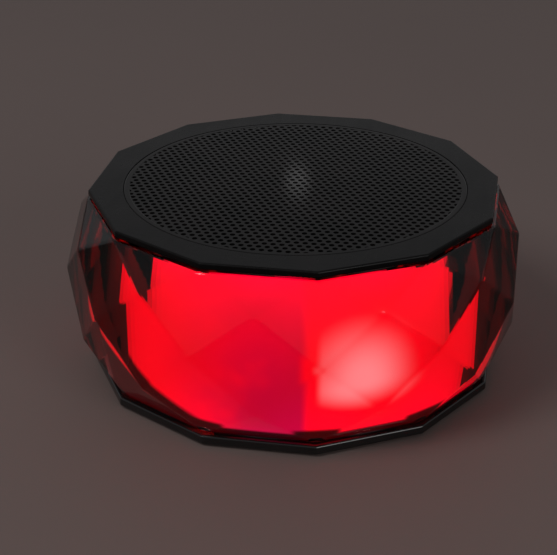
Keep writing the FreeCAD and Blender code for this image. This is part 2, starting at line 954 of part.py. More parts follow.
def plunger(place):
    top = button_board_front + switch_height + plunger_rise
    bottom = button_board_front + switch_height - plunger_depth
    return rod(plunger_radius, bottom, top, place.x, place.z)


def button_switches():
    half = switch_size / 2
    bodies = []
    for p in button_places().values():
        top = button_board_front + switch_height
        body = block(p.x - half, p.x + half, button_board_front, top, p.z - half, p.z + half)
        hole = rod(plunger_radius + plunger_clearance, button_board_front + switch_floor, top, p.x, p.z)
        bodies.append(body.cut(hole))
    return Part.makeCompound(bodies)


def board_leg_places():
    low = point(board_leg_spread, 0, button_board_base + board_leg_inset)
    high = point(board_leg_spread, 0, button_board_crest - board_leg_inset)
    return mirrored([low, high])


def button_board():
    half = panel_half - overrun
    return block(-half, half, button_board_back, button_board_front, button_board_base, button_board_crest)


def board_ribbon():
    half = ribbon_width / 2
    middle = (button_board_back + button_board_front) / 2
    edge = ribbon_thickness / 2
    return block(-half, half, middle - edge, middle + edge, board_top, button_board_base)


def microphone():
    return rod(microphone_radius, button_board_front, button_board_front + microphone_height,
               button_pitch, light_row)


def microphone_boot():
    inner = microphone_radius + boot_clearance
    sleeve = rod(inner + boot_wall, button_board_front, panel_back, button_pitch, light_row)
    return sleeve.cut(rod(inner, button_board_front, panel_back, button_pitch, light_row))


def status_lens():
    return rod(lens_radius, button_board_front, panel_face, -button_pitch, light_row)


def charging_socket():
    mouth = panel_face - usb_recess
    back = mouth - usb_length
    shell = rounded_bar(usb_width, usb_height, usb_rounding, back, mouth, usb_x, usb_centre)
    width = usb_width - 2 * usb_wall
    height = usb_height - 2 * usb_wall
    hollow_back = back + usb_back
    hollow = rounded_bar(width, height, usb_rounding - usb_wall, hollow_back, mouth + overrun, usb_x, usb_centre)
    half = usb_tongue_width / 2
    lift = usb_tongue_height / 2
    tongue = block(usb_x - half, usb_x + half, back, hollow_back + usb_tongue_length,
                   usb_centre - lift, usb_centre + lift)
    return shell.cut(hollow).fuse(tongue).removeSplitter()


def audio_socket():
    mouth = panel_face - aux_recess
    body_front = panel_back - panel_clearance
    half = aux_width / 2
    body = block(aux_x - half, aux_x + half, body_front - aux_length, body_front,
                 board_top, board_top + aux_height)
    body = body.fuse(rod(aux_nose_radius, body_front, mouth, aux_x, aux_centre)).removeSplitter()
    return body.cut(rod(aux_bore_radius, mouth - aux_bore_depth, mouth, aux_x, aux_centre))


def power_slot(y0, y1):
    # The knob rests at the right-hand end of the slot and slides towards -X.
    left = power_x - (knob_width + power_travel) / 2 - knob_clearance
    right = power_x + (knob_width + power_travel) / 2 + knob_clearance
    half = knob_height / 2 + knob_clearance
    return block(left, right, y0, y1, knob_centre - half, knob_centre + half)


def power_switch():
    front = panel_back - power_setback
    half = power_width / 2
    body = block(power_x - half, power_x + half, front - power_depth, front, board_top, board_top + power_height)
    return body.cut(power_slot(front - power_slot_depth, front))


def power_knob():
    right = power_x + (knob_width + power_travel) / 2
    left = right - knob_width
    half = knob_height / 2
    back = panel_back - power_setback - power_slot_depth + knob_clearance
    front = panel_face + knob_proud
    knob = block(left, right, back, front, knob_centre - half, knob_centre + half)
    middle = (left + right) / 2
    groove = block(middle - knob_ridge, middle + knob_ridge, front - knob_ridge, front + overrun,
                   knob_centre - half - overrun, knob_centre + half + overrun)
    return knob.cut(groove)


def all_pieces():
    pieces = {
        "crystal_shell": crystal_shell(),
        "upper_seal": upper_seal(),
        "lower_seal": lower_seal(),
        "light_sleeve": light_sleeve(),
        "base_tray": base_tray(),
        "rubber_feet": rubber_feet(),
        "base_screws": base_screws(),
        "inner_housing": inner_housing(),
        "top_bezel": top_bezel(),
        "baffle_screws": baffle_screws(),
        "speaker_grille": speaker_grille(),
        "driver_frame": driver_frame(),
        "driver_gasket": driver_gasket(),
        "driver_screws": driver_screws(),
        "cone_surround": cone_surround(),
        "speaker_cone": speaker_cone(),
        "dust_cap": dust_cap(),
        "voice_coil": voice_coil(),
        "spider": spider(),
        "pole_yoke": pole_yoke(),
        "ring_magnet": ring_magnet(),
        "top_plate": top_plate(),
        "terminal_strip": terminal_strip(),
        "speaker_wires": speaker_wires(),
        "light_strip": light_strip(),
        "light_packages": light_packages(),
        "main_board": main_board(),
        "board_screws": board_screws(),
        "board_components": board_components(),
        "battery_cell": battery_cell(),
        "battery_pad": battery_pad(),
        "battery_wires": battery_wires(),
        "control_panel": control_panel(),
        "panel_screws": panel_screws(),
        "button_board": button_board(),
        "button_switches": button_switches(),
        "board_ribbon": board_ribbon(),
        "microphone": microphone(),
        "microphone_boot": microphone_boot(),
        "status_lens": status_lens(),
        "charging_socket": charging_socket(),
        "audio_socket": audio_socket(),
        "power_switch": power_switch(),
        "power_knob": power_knob(),
    }
    for name, place in button_places().items():
        pieces[name] = button(place)
        pieces[name.replace("button", "plunger")] = plunger(place)
    return pieces


os.makedirs("parts", exist_ok=True)
for name, shape in all_pieces().items():
    shape.exportStep("parts/" + name + ".step")
    print(name, len(shape.Solids), shape.isValid(), round(shape.Volume, 2))
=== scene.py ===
import bpy
import math
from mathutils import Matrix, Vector


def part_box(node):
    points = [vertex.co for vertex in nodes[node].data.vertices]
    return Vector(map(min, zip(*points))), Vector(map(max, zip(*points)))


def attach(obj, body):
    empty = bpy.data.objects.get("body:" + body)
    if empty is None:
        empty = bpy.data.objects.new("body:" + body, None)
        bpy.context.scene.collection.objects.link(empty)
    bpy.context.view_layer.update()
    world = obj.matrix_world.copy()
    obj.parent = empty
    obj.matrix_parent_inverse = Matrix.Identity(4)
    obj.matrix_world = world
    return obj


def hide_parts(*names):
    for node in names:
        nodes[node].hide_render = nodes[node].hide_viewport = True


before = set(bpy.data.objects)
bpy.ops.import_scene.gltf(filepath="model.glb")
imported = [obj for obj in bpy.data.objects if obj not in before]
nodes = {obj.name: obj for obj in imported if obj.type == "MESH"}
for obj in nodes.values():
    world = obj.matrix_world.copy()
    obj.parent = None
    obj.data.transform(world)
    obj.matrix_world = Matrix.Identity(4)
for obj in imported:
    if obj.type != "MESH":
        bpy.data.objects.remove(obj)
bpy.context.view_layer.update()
print("frame loaded, nodes:", len(nodes))


def clearSelection():
    if bpy.context.object and bpy.context.object.mode != "OBJECT":
        bpy.ops.object.mode_set(mode="OBJECT")
    bpy.ops.object.select_all(action="DESELECT")


def makeActive(piece):
    clearSelection()
    piece.select_set(True)
    bpy.context.view_layer.objects.active = piece


def applyModifier(piece, kind, **settings):
    makeActive(piece)
    modifier = piece.modifiers.new(kind.lower(), kind)
    for key, value in settings.items():
        setattr(modifier, key, value)
    bpy.ops.object.modifier_apply(modifier=modifier.name)


def settle(piece):
    # leave the object at the origin with its place in the mesh
    makeActive(piece)
    bpy.ops.object.transform_apply(location=True, rotation=True, scale=True)


def cutAway(piece, cutter):
    settle(cutter)
    applyModifier(piece, "BOOLEAN", operation="DIFFERENCE", solver="EXACT", object=cutter)
    bpy.data.objects.remove(cutter)


def bevelEdges(piece, width, angle):
    applyModifier(piece, "BEVEL", width=width, segments=2, limit_method="ANGLE", angle_limit=math.radians(angle))


def evenNormals():
    # the last step in edit mode
    bpy.ops.mesh.select_all(action="SELECT")
    bpy.ops.mesh.normals_make_consistent(inside=False)
    bpy.ops.object.mode_set(mode="OBJECT")


def dress(piece, material):
    piece.data.materials.clear()
    piece.data.materials.append(material)


def finishPiece(piece, name, body, material):
    piece.name = name
    piece.data.name = name
    dress(piece, material)
    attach(piece, body)


# shared shader groups

def newGroup(name, inputs, outputs):
    group = bpy.data.node_groups.new(name, "ShaderNodeTree")
    for label, kind, value in inputs:
        socket = group.interface.new_socket(name=label, in_out="INPUT", socket_type=kind)
        socket.default_value = value
    for label, kind in outputs:
        group.interface.new_socket(name=label, in_out="OUTPUT", socket_type=kind)
    entry = group.nodes.new("NodeGroupInput")
    leave = group.nodes.new("NodeGroupOutput")
    return group, entry, leave


def feed(tree, socket, value):
    # another node's socket is linked, anything else is set as a constant
    if isinstance(value, bpy.types.NodeSocket):
        tree.links.new(value, socket)
    else:
        socket.default_value = value


def objectCoords(tree):
    return tree.nodes.new("ShaderNodeTexCoord").outputs["Object"]


def noise(tree, vector, scale, detail=4.0, rough=0.55):
    node = tree.nodes.new("ShaderNodeTexNoise")
    for label, value in (("Vector", vector), ("Scale", scale), ("Detail", detail), ("Roughness", rough)):
        feed(tree, node.inputs[label], value)
    return node.outputs["Fac"]


def mathNode(tree, operation, *values):
    node = tree.nodes.new("ShaderNodeMath")
    node.operation = operation
    for socket, value in zip(node.inputs, values):
        feed(tree, socket, value)
    return node.outputs[0]


def rescale(tree, value, low=0.0, high=1.0, toLow=0.0, toHigh=1.0, kind="LINEAR"):
    node = tree.nodes.new("ShaderNodeMapRange")
    node.interpolation_type = kind
    feed(tree, node.inputs["Value"], value)
    for label, limit in (("From Min", low), ("From Max", high), ("To Min", toLow), ("To Max", toHigh)):
        feed(tree, node.inputs[label], limit)
    return node.outputs["Result"]


def softStep(tree, value, low, high):
    return rescale(tree, value, low, high, kind="SMOOTHSTEP")


# places of the colour sockets on a mix node, whose value and vector sockets have the same names
mixPlaces = dict(first=6, second=7, result=2)


def mixColours(tree, factor, first, second, blend="MIX"):
    node = tree.nodes.new("ShaderNodeMix")
    node.data_type = "RGBA"
    node.blend_type = blend
    feed(tree, node.inputs["Factor"], factor)
    feed(tree, node.inputs[mixPlaces["first"]], first)
    feed(tree, node.inputs[mixPlaces["second"]], second)
    return node.outputs[mixPlaces["result"]]


driftSpread = (0.35, 0.65)


def buildTintDrift():
    # two colours that drift into each other over the surface
    group, entry, leave = newGroup(
        "tintDrift",
        [("Scale", "NodeSocketFloat", 60.0), ("First", "NodeSocketColor", (1, 1, 1, 1)),
         ("Second", "NodeSocketColor", (0, 0, 0, 1))],
        [("Color", "NodeSocketColor")])
    cloud = noise(group, objectCoords(group), entry.outputs["Scale"])
    spread = rescale(group, cloud, *driftSpread)
    colour = mixColours(group, spread, entry.outputs["First"], entry.outputs["Second"])
    group.links.new(colour, leave.inputs["Color"])
    return group


smear = dict(stretch=(1.0, 0.12, 1.0), turn=(0.0, 0.0, 0.6), smudgeDetail=3.0, streakDetail=6.0, streakRough=0.7,
             streakFiner=9.0, spread=(0.12, 0.45))


def buildHandling():
    # smudges and faint rubbed streaks, as a roughness value
    group, entry, leave = newGroup(
        "handlingMarks",
        [("Scale", "NodeSocketFloat", 40.0), ("Low", "NodeSocketFloat", 0.2), ("High", "NodeSocketFloat", 0.4)],
        [("Roughness", "NodeSocketFloat")])
    coords = objectCoords(group)
    scale = entry.outputs["Scale"]
    stretch = group.nodes.new("ShaderNodeMapping")
    stretch.inputs["Scale"].default_value = smear["stretch"]
    stretch.inputs["Rotation"].default_value = smear["turn"]
    group.links.new(coords, stretch.inputs["Vector"])
    smudge = noise(group, coords, scale, smear["smudgeDetail"])
    finer = mathNode(group, "MULTIPLY", scale, smear["streakFiner"])
    streak = noise(group, stretch.outputs["Vector"], finer, smear["streakDetail"], smear["streakRough"])
    both = mathNode(group, "MULTIPLY", smudge, streak)
    rough = rescale(group, both, *smear["spread"], entry.outputs["Low"], entry.outputs["High"])
    group.links.new(rough, leave.inputs["Roughness"])
    return group


grainNoise = dict(detail=5.0, rough=0.6)


def buildGrain():
    # fine moulded or painted grain, as a bump height
    group, entry, leave = newGroup(
        "mouldGrain",
        [("Scale", "NodeSocketFloat", 900.0)],
        [("Height", "NodeSocketFloat")])
    coords = objectCoords(group)
    fine = noise(group, coords, entry.outputs["Scale"], **grainNoise)
    pits = group.nodes.new("ShaderNodeTexVoronoi")
    group.links.new(coords, pits.inputs["Vector"])
    group.links.new(entry.outputs["Scale"], pits.inputs["Scale"])
    height = mathNode(group, "ADD", fine, pits.outputs["Distance"])
    group.links.new(height, leave.inputs["Height"])
    return group


tintDrift = buildTintDrift()
handlingMarks = buildHandling()
mouldGrain = buildGrain()
print("shader groups built")


def startMaterial(name):
    material = bpy.data.materials.new(name)
    material.use_nodes = True
    return material, material.node_tree, material.node_tree.nodes["Principled BSDF"]


def placeGroup(tree, group, **values):
    node = tree.nodes.new("ShaderNodeGroup")
    node.node_tree = group
    for label, value in values.items():
        node.inputs[label].default_value = value
    return node


def addBump(tree, shader, height, depth, reach=0.0002):
    bump = tree.nodes.new("ShaderNodeBump")
    bump.inputs["Strength"].default_value = depth
    bump.inputs["Distance"].default_value = reach
    tree.links.new(height, bump.inputs["Height"])
    tree.links.new(bump.outputs["Normal"], shader.inputs["Normal"])


def opaque(colour):
    return (colour[0], colour[1], colour[2], 1.0)


def addTint(tree, shader, scale, first, second):
    tint = placeGroup(tree, tintDrift, Scale=scale, First=opaque(first), Second=opaque(second))
    tree.links.new(tint.outputs["Color"], shader.inputs["Base Color"])


def addHandling(tree, shader, scale, rough):
    marks = placeGroup(tree, handlingMarks, Scale=scale, Low=rough[0], High=rough[1])
    tree.links.new(marks.outputs["Roughness"], shader.inputs["Roughness"])


def plainFinish(name, first, second, rough, tintScale=70.0, markScale=45.0, grainScale=900.0, grainDepth=0.15,
                metallic=0.0, specular=0.5, coat=0.0, coatRough=0.05):
    material, tree, shader = startMaterial(name)
    addTint(tree, shader, tintScale, first, second)
    addHandling(tree, shader, markScale, rough)
    grain = placeGroup(tree, mouldGrain, Scale=grainScale)
    addBump(tree, shader, grain.outputs["Height"], grainDepth)
    shader.inputs["Metallic"].default_value = metallic
    shader.inputs["Specular IOR Level"].default_value = specular
    shader.inputs["Coat Weight"].default_value = coat
    shader.inputs["Coat Roughness"].default_value = coatRough
    return material


plainFinishes = {
    "blackGloss": dict(first=(0.003, 0.003, 0.003), second=(0.006, 0.005, 0.005), rough=(0.08, 0.18),
                       grainScale=500.0, grainDepth=0.03),
    "bezelBlack": dict(first=(0.0015, 0.0015, 0.0015), second=(0.003, 0.0025, 0.0025), rough=(0.24, 0.36),
                       grainScale=900.0, grainDepth=0.05, specular=0.1),
    "blackSatin": dict(first=(0.012, 0.012, 0.013), second=(0.02, 0.019, 0.02), rough=(0.42, 0.6),
                       grainScale=2200.0, grainDepth=0.35),
    "grilleCoat": dict(first=(0.0025, 0.0025, 0.0025), second=(0.006, 0.005, 0.005), rough=(0.05, 0.08),
                       grainScale=2600.0, grainDepth=0.01, specular=0.1),
    "blackRubber": dict(first=(0.012, 0.012, 0.012), second=(0.022, 0.021, 0.02), rough=(0.65, 0.85),
                        grainScale=1800.0, grainDepth=0.4),
    "whiteMoulding": dict(first=(0.78, 0.78, 0.75), second=(0.84, 0.84, 0.82), rough=(0.4, 0.55)),
    "screwSteel": dict(first=(0.5, 0.5, 0.5), second=(0.62, 0.61, 0.58), rough=(0.25, 0.45), metallic=1.0,
                       grainScale=1500.0),
    "frameSteel": dict(first=(0.02, 0.02, 0.022), second=(0.035, 0.034, 0.033), rough=(0.35, 0.5)),
    "platedSteel": dict(first=(0.6, 0.59, 0.55), second=(0.7, 0.69, 0.66), rough=(0.2, 0.4), metallic=1.0),
    "ferrite": dict(first=(0.05, 0.05, 0.052), second=(0.085, 0.083, 0.08), rough=(0.6, 0.8), grainDepth=0.5),
    "conePaper": dict(first=(0.018, 0.018, 0.02), second=(0.04, 0.038, 0.036), rough=(0.7, 0.9),
                      tintScale=700.0, grainScale=1400.0, grainDepth=0.6),
    "coilCopper": dict(first=(0.62, 0.26, 0.1), second=(0.75, 0.36, 0.18), rough=(0.25, 0.4), metallic=1.0),
    "spiderCloth": dict(first=(0.42, 0.26, 0.08), second=(0.52, 0.34, 0.13), rough=(0.7, 0.85), tintScale=900.0,
                        grainScale=2000.0, grainDepth=0.7),
    "boardGreen": dict(first=(0.008, 0.1, 0.035), second=(0.015, 0.16, 0.06), rough=(0.25, 0.4),
                       tintScale=260.0),
    "chipBlack": dict(first=(0.02, 0.02, 0.022), second=(0.035, 0.034, 0.034), rough=(0.5, 0.65),
                      grainScale=2500.0, grainDepth=0.3),
    "stripWhite": dict(first=(0.72, 0.7, 0.64), second=(0.8, 0.79, 0.75), rough=(0.35, 0.5)),
    "batteryWrap": dict(first=(0.03, 0.11, 0.3), second=(0.05, 0.16, 0.38), rough=(0.2, 0.35)),
    "foamPad": dict(first=(0.03, 0.03, 0.03), second=(0.06, 0.06, 0.058), rough=(0.8, 0.95), tintScale=900.0,
                    grainScale=1600.0, grainDepth=0.8),
    "wireRed": dict(first=(0.4, 0.01, 0.01), second=(0.5, 0.02, 0.018), rough=(0.25, 0.4)),
    "buttonGrey": dict(first=(0.03, 0.03, 0.032), second=(0.045, 0.044, 0.044), rough=(0.4, 0.58),
                       grainScale=2200.0, grainDepth=0.3),
    "lensFrost": dict(first=(0.5, 0.52, 0.55), second=(0.58, 0.6, 0.62), rough=(0.12, 0.25), grainDepth=0.05,
                      coat=0.4),
    "markWhite": dict(first=(0.62, 0.62, 0.6), second=(0.72, 0.72, 0.7), rough=(0.45, 0.6)),
}
finishes = {name: plainFinish(name, **values) for name, values in plainFinishes.items()}
print("plain finishes:", len(finishes))


# clear acrylic: polished, with faint wiping marks; its faint pink and the red that deepens with the thickness are
# painted red light and shade, the acrylic itself being clear
clearLook = dict(tint=(0.985, 0.93, 0.93), ior=1.34, rough=(0.0, 0.03), markScale=30.0,
                 paintedRedTint=(0.76, 0.02, 0.04), paintedRedDensity=150.0)


def clearAcrylic():
    material, tree, shader = startMaterial("clearAcrylic")
    addHandling(tree, shader, clearLook["markScale"], clearLook["rough"])
    shader.inputs["Base Color"].default_value = opaque(clearLook["tint"])
    shader.inputs["IOR"].default_value = clearLook["ior"]
    shader.inputs["Transmission Weight"].default_value = 1.0
    # painted red light and shade: red absorption that deepens with the thickness
    depth = tree.nodes.new("ShaderNodeVolumeAbsorption")
    depth.inputs["Color"].default_value = opaque(clearLook["paintedRedTint"])
    depth.inputs["Density"].default_value = clearLook["paintedRedDensity"]
    tree.links.new(depth.outputs["Volume"], tree.nodes["Material Output"].inputs["Volume"])
    return material


finishes["clearAcrylic"] = clearAcrylic()

# glowing sleeve, its glow painted as emission: each light makes a painted pool of red on it that widens upwards,
# with a painted hot core that stops short on one side and a violet tinge of painted light beyond it, and a
# painted shadow under the pool's lower sides
glowLook = dict(litFrom=0.0056, litTo=0.0442, edge=0.0006, red=(1.0, 0.0, 0.034), hot=(1.0, 0.82, 0.84),
                violet=(0.5, 0.0, 0.085), unlit=(0.05, 0.002, 0.003), strength=1.6, dim=0.03, specular=0.05,
                cloudScale=34.0, cloudDetail=3.0, cloudSpread=(0.2, 0.5), markScale=60.0, rough=(0.5, 0.7))
# the last two values of each pool set the slope and softness of its painted shadow
pools = [dict(Angle=28.0, Height=0.0265, Reach=0.078, Tall=0.0272, ShadeSlope=0.45, ShadeEdge=0.0011),
         dict(Angle=148.0, Height=0.0265, Reach=0.09, Tall=0.032, ShadeSlope=0.42, ShadeEdge=0.004),
         dict(Angle=268.0, Height=0.03, Reach=0.055, Tall=0.036, ShadeSlope=1.45, ShadeEdge=0.008)]
poolShape = dict(shadeLine=-0.012, fade=(1.14, 0.84))
coreShape = dict(height=0.0182, rise=0.0175, drop=0.0078, wide=0.0165, cut=-0.01, cutEdge=0.0012, fade=(1.0, 0.1))
violetBand = dict(rise=(-0.052, -0.02), fall=(-0.0118, -0.0148), height=(0.056, 0.01))


def fromCentre(tree, across, upward):
    squares = [mathNode(tree, "POWER", value, 2.0) for value in (across, upward)]
    return mathNode(tree, "SQRT", mathNode(tree, "ADD", *squares))


def splitCoords(tree):
    parts = tree.nodes.new("ShaderNodeSeparateXYZ")
    tree.links.new(objectCoords(tree), parts.inputs[0])
    return parts.outputs


def poolMask(group, entry, arc, z):
    across = mathNode(group, "DIVIDE", arc, entry.outputs["Reach"])
    rise = mathNode(group, "SUBTRACT", z, entry.outputs["Height"])
    upward = mathNode(group, "DIVIDE", rise, entry.outputs["Tall"])
    oval = softStep(group, fromCentre(group, across, upward), *poolShape["fade"])
    # painted shadow: the pool stays dark below a line that rises towards its sides
    side = mathNode(group, "ABSOLUTE", arc)
    shadeLine = mathNode(group, "MULTIPLY_ADD", side, entry.outputs["ShadeSlope"], poolShape["shadeLine"])
    clear = mathNode(group, "DIVIDE", mathNode(group, "SUBTRACT", z, shadeLine), entry.outputs["ShadeEdge"])
    return mathNode(group, "MULTIPLY", oval, softStep(group, clear, -1.0, 1.0))


def coreMask(group, arc, z):
    across = mathNode(group, "DIVIDE", arc, coreShape["wide"])
    lift = mathNode(group, "SUBTRACT", z, coreShape["height"])
    upward = mathNode(group, "MAXIMUM", mathNode(group, "DIVIDE", lift, coreShape["rise"]),
                      mathNode(group, "DIVIDE", lift, -coreShape["drop"]))
    spot = softStep(group, fromCentre(group, across, upward), *coreShape["fade"])
    cut, edge = coreShape["cut"], coreShape["cutEdge"]
    return mathNode(group, "MULTIPLY", spot, softStep(group, arc, cut - edge, cut + edge))


def violetMask(group, arc, z):
    band = mathNode(group, "MULTIPLY", softStep(group, arc, *violetBand["rise"]),
                    softStep(group, arc, *violetBand["fall"]))
    return mathNode(group, "MULTIPLY", band, softStep(group, z, *violetBand["height"]))


def buildLightPool():
    # masks of one light on the sleeve, all painted light: its pool, cut off by a painted shadow on its lower
    # sides, its hot core and the violet tinge beside the core
    sizes = dict(Angle=0.0, Height=0.024, Reach=0.08, Tall=0.02, ShadeSlope=0.5, ShadeEdge=0.001, Radius=0.0476)
    group, entry, leave = newGroup(
        "lightPool",
        [(label, "NodeSocketFloat", value) for label, value in sizes.items()],
        [(label, "NodeSocketFloat") for label in ("Pool", "Core", "Violet")])
    x, y, z = splitCoords(group)
    turn = mathNode(group, "ARCTAN2", x, mathNode(group, "MULTIPLY", y, -1.0))
    start = mathNode(group, "RADIANS", entry.outputs["Angle"])
    apart = mathNode(group, "WRAP", mathNode(group, "SUBTRACT", turn, start), math.pi, -math.pi)
    arc = mathNode(group, "MULTIPLY", apart, entry.outputs["Radius"])
    group.links.new(poolMask(group, entry, arc, z), leave.inputs["Pool"])
    group.links.new(coreMask(group, arc, z), leave.inputs["Core"])
    group.links.new(violetMask(group, arc, z), leave.inputs["Violet"])
    return group


def glowSleeve():
    material, tree, shader = startMaterial("glowSleeve")
    lightPool = buildLightPool()
    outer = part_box("light_sleeve")[1].x
    masks = dict(Pool=None, Core=None, Violet=None)
    for pool in pools:
        node = placeGroup(tree, lightPool, Radius=outer, **pool)
        for name, last in masks.items():
            now = node.outputs[name]
            masks[name] = now if last is None else mathNode(tree, "MAXIMUM", last, now)
    z = splitCoords(tree)[2]
    litFrom, litTo, edge = glowLook["litFrom"], glowLook["litTo"], glowLook["edge"]
    # painted shade: the glow is kept between two heights and dark below and above them
    lower = softStep(tree, z, litFrom - edge, litFrom + edge)
    upper = softStep(tree, z, litTo + edge, litTo - edge)
    lit = mathNode(tree, "MULTIPLY", mathNode(tree, "MULTIPLY", lower, upper), masks["Pool"])
    level = rescale(tree, lit, toLow=glowLook["dim"])
    cloud = noise(tree, objectCoords(tree), glowLook["cloudScale"], glowLook["cloudDetail"])
    # painted violet light, spread in clouds beside each hot core
    spread = mathNode(tree, "MULTIPLY", softStep(tree, cloud, *glowLook["cloudSpread"]), masks["Violet"])
    drift = mixColours(tree, spread, opaque(glowLook["red"]), opaque(glowLook["violet"]))
    warm = mixColours(tree, masks["Core"], drift, opaque(glowLook["hot"]))
    shown = mixColours(tree, 1.0, warm, level, "MULTIPLY")
    tree.links.new(shown, shader.inputs["Emission Color"])
    shader.inputs["Base Color"].default_value = opaque(glowLook["unlit"])
    shader.inputs["Emission Strength"].default_value = glowLook["strength"]
    shader.inputs["Specular IOR Level"].default_value = glowLook["specular"]
    addHandling(tree, shader, glowLook["markScale"], glowLook["rough"])
    return material


finishes["glowSleeve"] = glowSleeve()

# light packages: clear filled, lit warm pink
packageLook = dict(first=(0.85, 0.78, 0.7), second=(0.92, 0.88, 0.82), tintScale=500.0, markScale=300.0,
                   rough=(0.1, 0.3), lit=(1.0, 0.3, 0.3), strength=2.0)


def lightPackage():
    material, tree, shader = startMaterial("lightPackage")
    addTint(tree, shader, packageLook["tintScale"], packageLook["first"], packageLook["second"])
    addHandling(tree, shader, packageLook["markScale"], packageLook["rough"])
    shader.inputs["Emission Color"].default_value = opaque(packageLook["lit"])
    shader.inputs["Emission Strength"].default_value = packageLook["strength"]
    return material


finishes["lightPackage"] = lightPackage()

# finishes of the nodes that stay as they are
nodeFinish = {
    "upper_seal": "blackRubber", "lower_seal": "blackRubber", "light_sleeve": "glowSleeve",
    "base_tray": "blackGloss", "rubber_feet": "blackRubber", "base_screws": "screwSteel",
    "inner_housing": "whiteMoulding", "top_bezel": "bezelBlack", "baffle_screws": "screwSteel",
    "driver_frame": "frameSteel", "driver_gasket": "blackRubber", "driver_screws": "screwSteel",
    "cone_surround": "blackRubber", "speaker_cone": "conePaper", "dust_cap": "blackGloss",
    "voice_coil": "coilCopper", "spider": "spiderCloth", "pole_yoke": "platedSteel", "ring_magnet": "ferrite",
    "top_plate": "platedSteel", "terminal_strip": "boardGreen", "speaker_wires": "wireRed",
    "light_strip": "stripWhite", "light_packages": "lightPackage", "main_board": "boardGreen",
    "board_screws": "screwSteel", "board_components": "chipBlack", "battery_cell": "batteryWrap",
    "battery_pad": "foamPad", "battery_wires": "wireRed", "control_panel": "blackSatin",
    "panel_screws": "frameSteel", "button_board": "boardGreen", "button_switches": "chipBlack",
    "board_ribbon": "stripWhite", "microphone": "platedSteel", "microphone_boot": "blackRubber",
    "status_lens": "lensFrost", "charging_socket": "platedSteel", "audio_socket": "chipBlack",
    "power_switch": "platedSteel", "power_knob": "buttonGrey",
}
keys = ["minus", "play", "plus", "light"]
for key in keys:
    nodeFinish[key + "_button"] = "buttonGrey"
    nodeFinish[key + "_plunger"] = "chipBlack"
for name, finish in nodeFinish.items():
    dress(nodes[name], finishes[finish])
print("nodes dressed:", len(nodeFinish))


# crystal ring: five rings of corners, wrapped, with bevelled facet edges, bored and notched
gem = dict(steps=12, girdleRise=0.0238, tableMargin=0.0003, heelMargin=0.0012, flatAngle=0.6, edge=0.0005,
           edgeAngle=2.0, boreGap=0.0004, boreSides=192, boreCut=0.2, boreMiddle=0.03, notchGap=0.0002,
           notchCut=0.06, sharpAngle=30.0, boreNear=0.0004, boreTilt=0.1)


def addCorners(radius, height, offset):
    bpy.ops.mesh.primitive_circle_add(vertices=gem["steps"], radius=radius, location=(0, 0, height),
                                      rotation=(0, 0, offset))


def crystalBlank():
    low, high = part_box("crystal_shell")
    halfStep = math.pi / gem["steps"]
    flat = high.x
    girdle = flat / math.cos(halfStep)
    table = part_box("top_bezel")[1].x / math.cos(halfStep) + gem["tableMargin"]
    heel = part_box("base_tray")[1].x / math.cos(halfStep) - gem["heelMargin"]
    middle = low.z + gem["girdleRise"]
    bow = girdle * math.sin(halfStep) ** 2
    upper = middle + (high.z - middle) * bow / (girdle - table)
    lower = middle - (middle - low.z) * bow / (girdle - heel)
    clearSelection()
    addCorners(heel, low.z, halfStep)
    blank = bpy.context.object
    bpy.ops.object.mode_set(mode="EDIT")
    addCorners(flat, lower, 0.0)
    addCorners(girdle, middle, halfStep)
    addCorners(flat, upper, 0.0)
    addCorners(table, high.z, halfStep)
    bpy.ops.mesh.select_all(action="SELECT")
    bpy.ops.mesh.convex_hull()
    bpy.ops.mesh.select_all(action="SELECT")
    bpy.ops.mesh.dissolve_limited(angle_limit=math.radians(gem["flatAngle"]))
    bpy.ops.mesh.normals_make_consistent(inside=False)
    bpy.ops.object.mode_set(mode="OBJECT")
    settle(blank)
    print("crystal facets:", len(blank.data.polygons))
    bevelEdges(blank, gem["edge"], gem["edgeAngle"])
    return blank


def crystalRing():
    ring = crystalBlank()
    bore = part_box("light_sleeve")[1].x + gem["boreGap"]
    clearSelection()
    bpy.ops.mesh.primitive_cylinder_add(vertices=gem["boreSides"], radius=bore, depth=gem["boreCut"],
                                        location=(0, 0, gem["boreMiddle"]))
    cutAway(ring, bpy.context.object)
    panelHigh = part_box("control_panel")[1]
    clearSelection()
    bpy.ops.mesh.primitive_cube_add(size=1.0)
    notch = bpy.context.object
    deep = gem["notchCut"]
    notch.dimensions = (2 * (panelHigh.x + gem["notchGap"]), deep, deep)
    notch.location = (0, deep, panelHigh.z + gem["notchGap"] - deep / 2)
    cutAway(ring, notch)
    makeActive(ring)
    bpy.ops.object.mode_set(mode="EDIT")
    bpy.ops.mesh.select_all(action="DESELECT")
    bpy.ops.mesh.edges_select_sharp(sharpness=math.radians(gem["sharpAngle"]))
    bpy.ops.mesh.mark_sharp()
    bpy.ops.object.mode_set(mode="OBJECT")
    for face in ring.data.polygons:
        # only the bore is smooth, the facets stay flat
        around = math.hypot(face.center.x, face.center.y)
        face.use_smooth = abs(around - bore) < gem["boreNear"] and abs(face.normal.z) < gem["boreTilt"]
    finishPiece(ring, "crystalRing", "housing", finishes["clearAcrylic"])
    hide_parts("crystal_shell")
    print("crystal ring:", len(ring.data.polygons), "faces")


crystalRing()


# grille: perforated sheet of round holes in a hexagonal pattern, inside a plain rim
sheet = dict(pitch=0.0021, hole=0.00068, holeSides=12, sunk=0.00004, weld=0.01, rim=0.0016, rimLap=0.5,
             rimSides=144, rimEdge=0.0003, rimAngle=40.0)


def repeatTile(piece, count, step):
    applyModifier(piece, "ARRAY", count=count, use_relative_offset=False, use_constant_offset=True,
                  constant_offset_displace=step, use_merge_vertices=True,
                  merge_threshold=sheet["pitch"] * sheet["weld"])


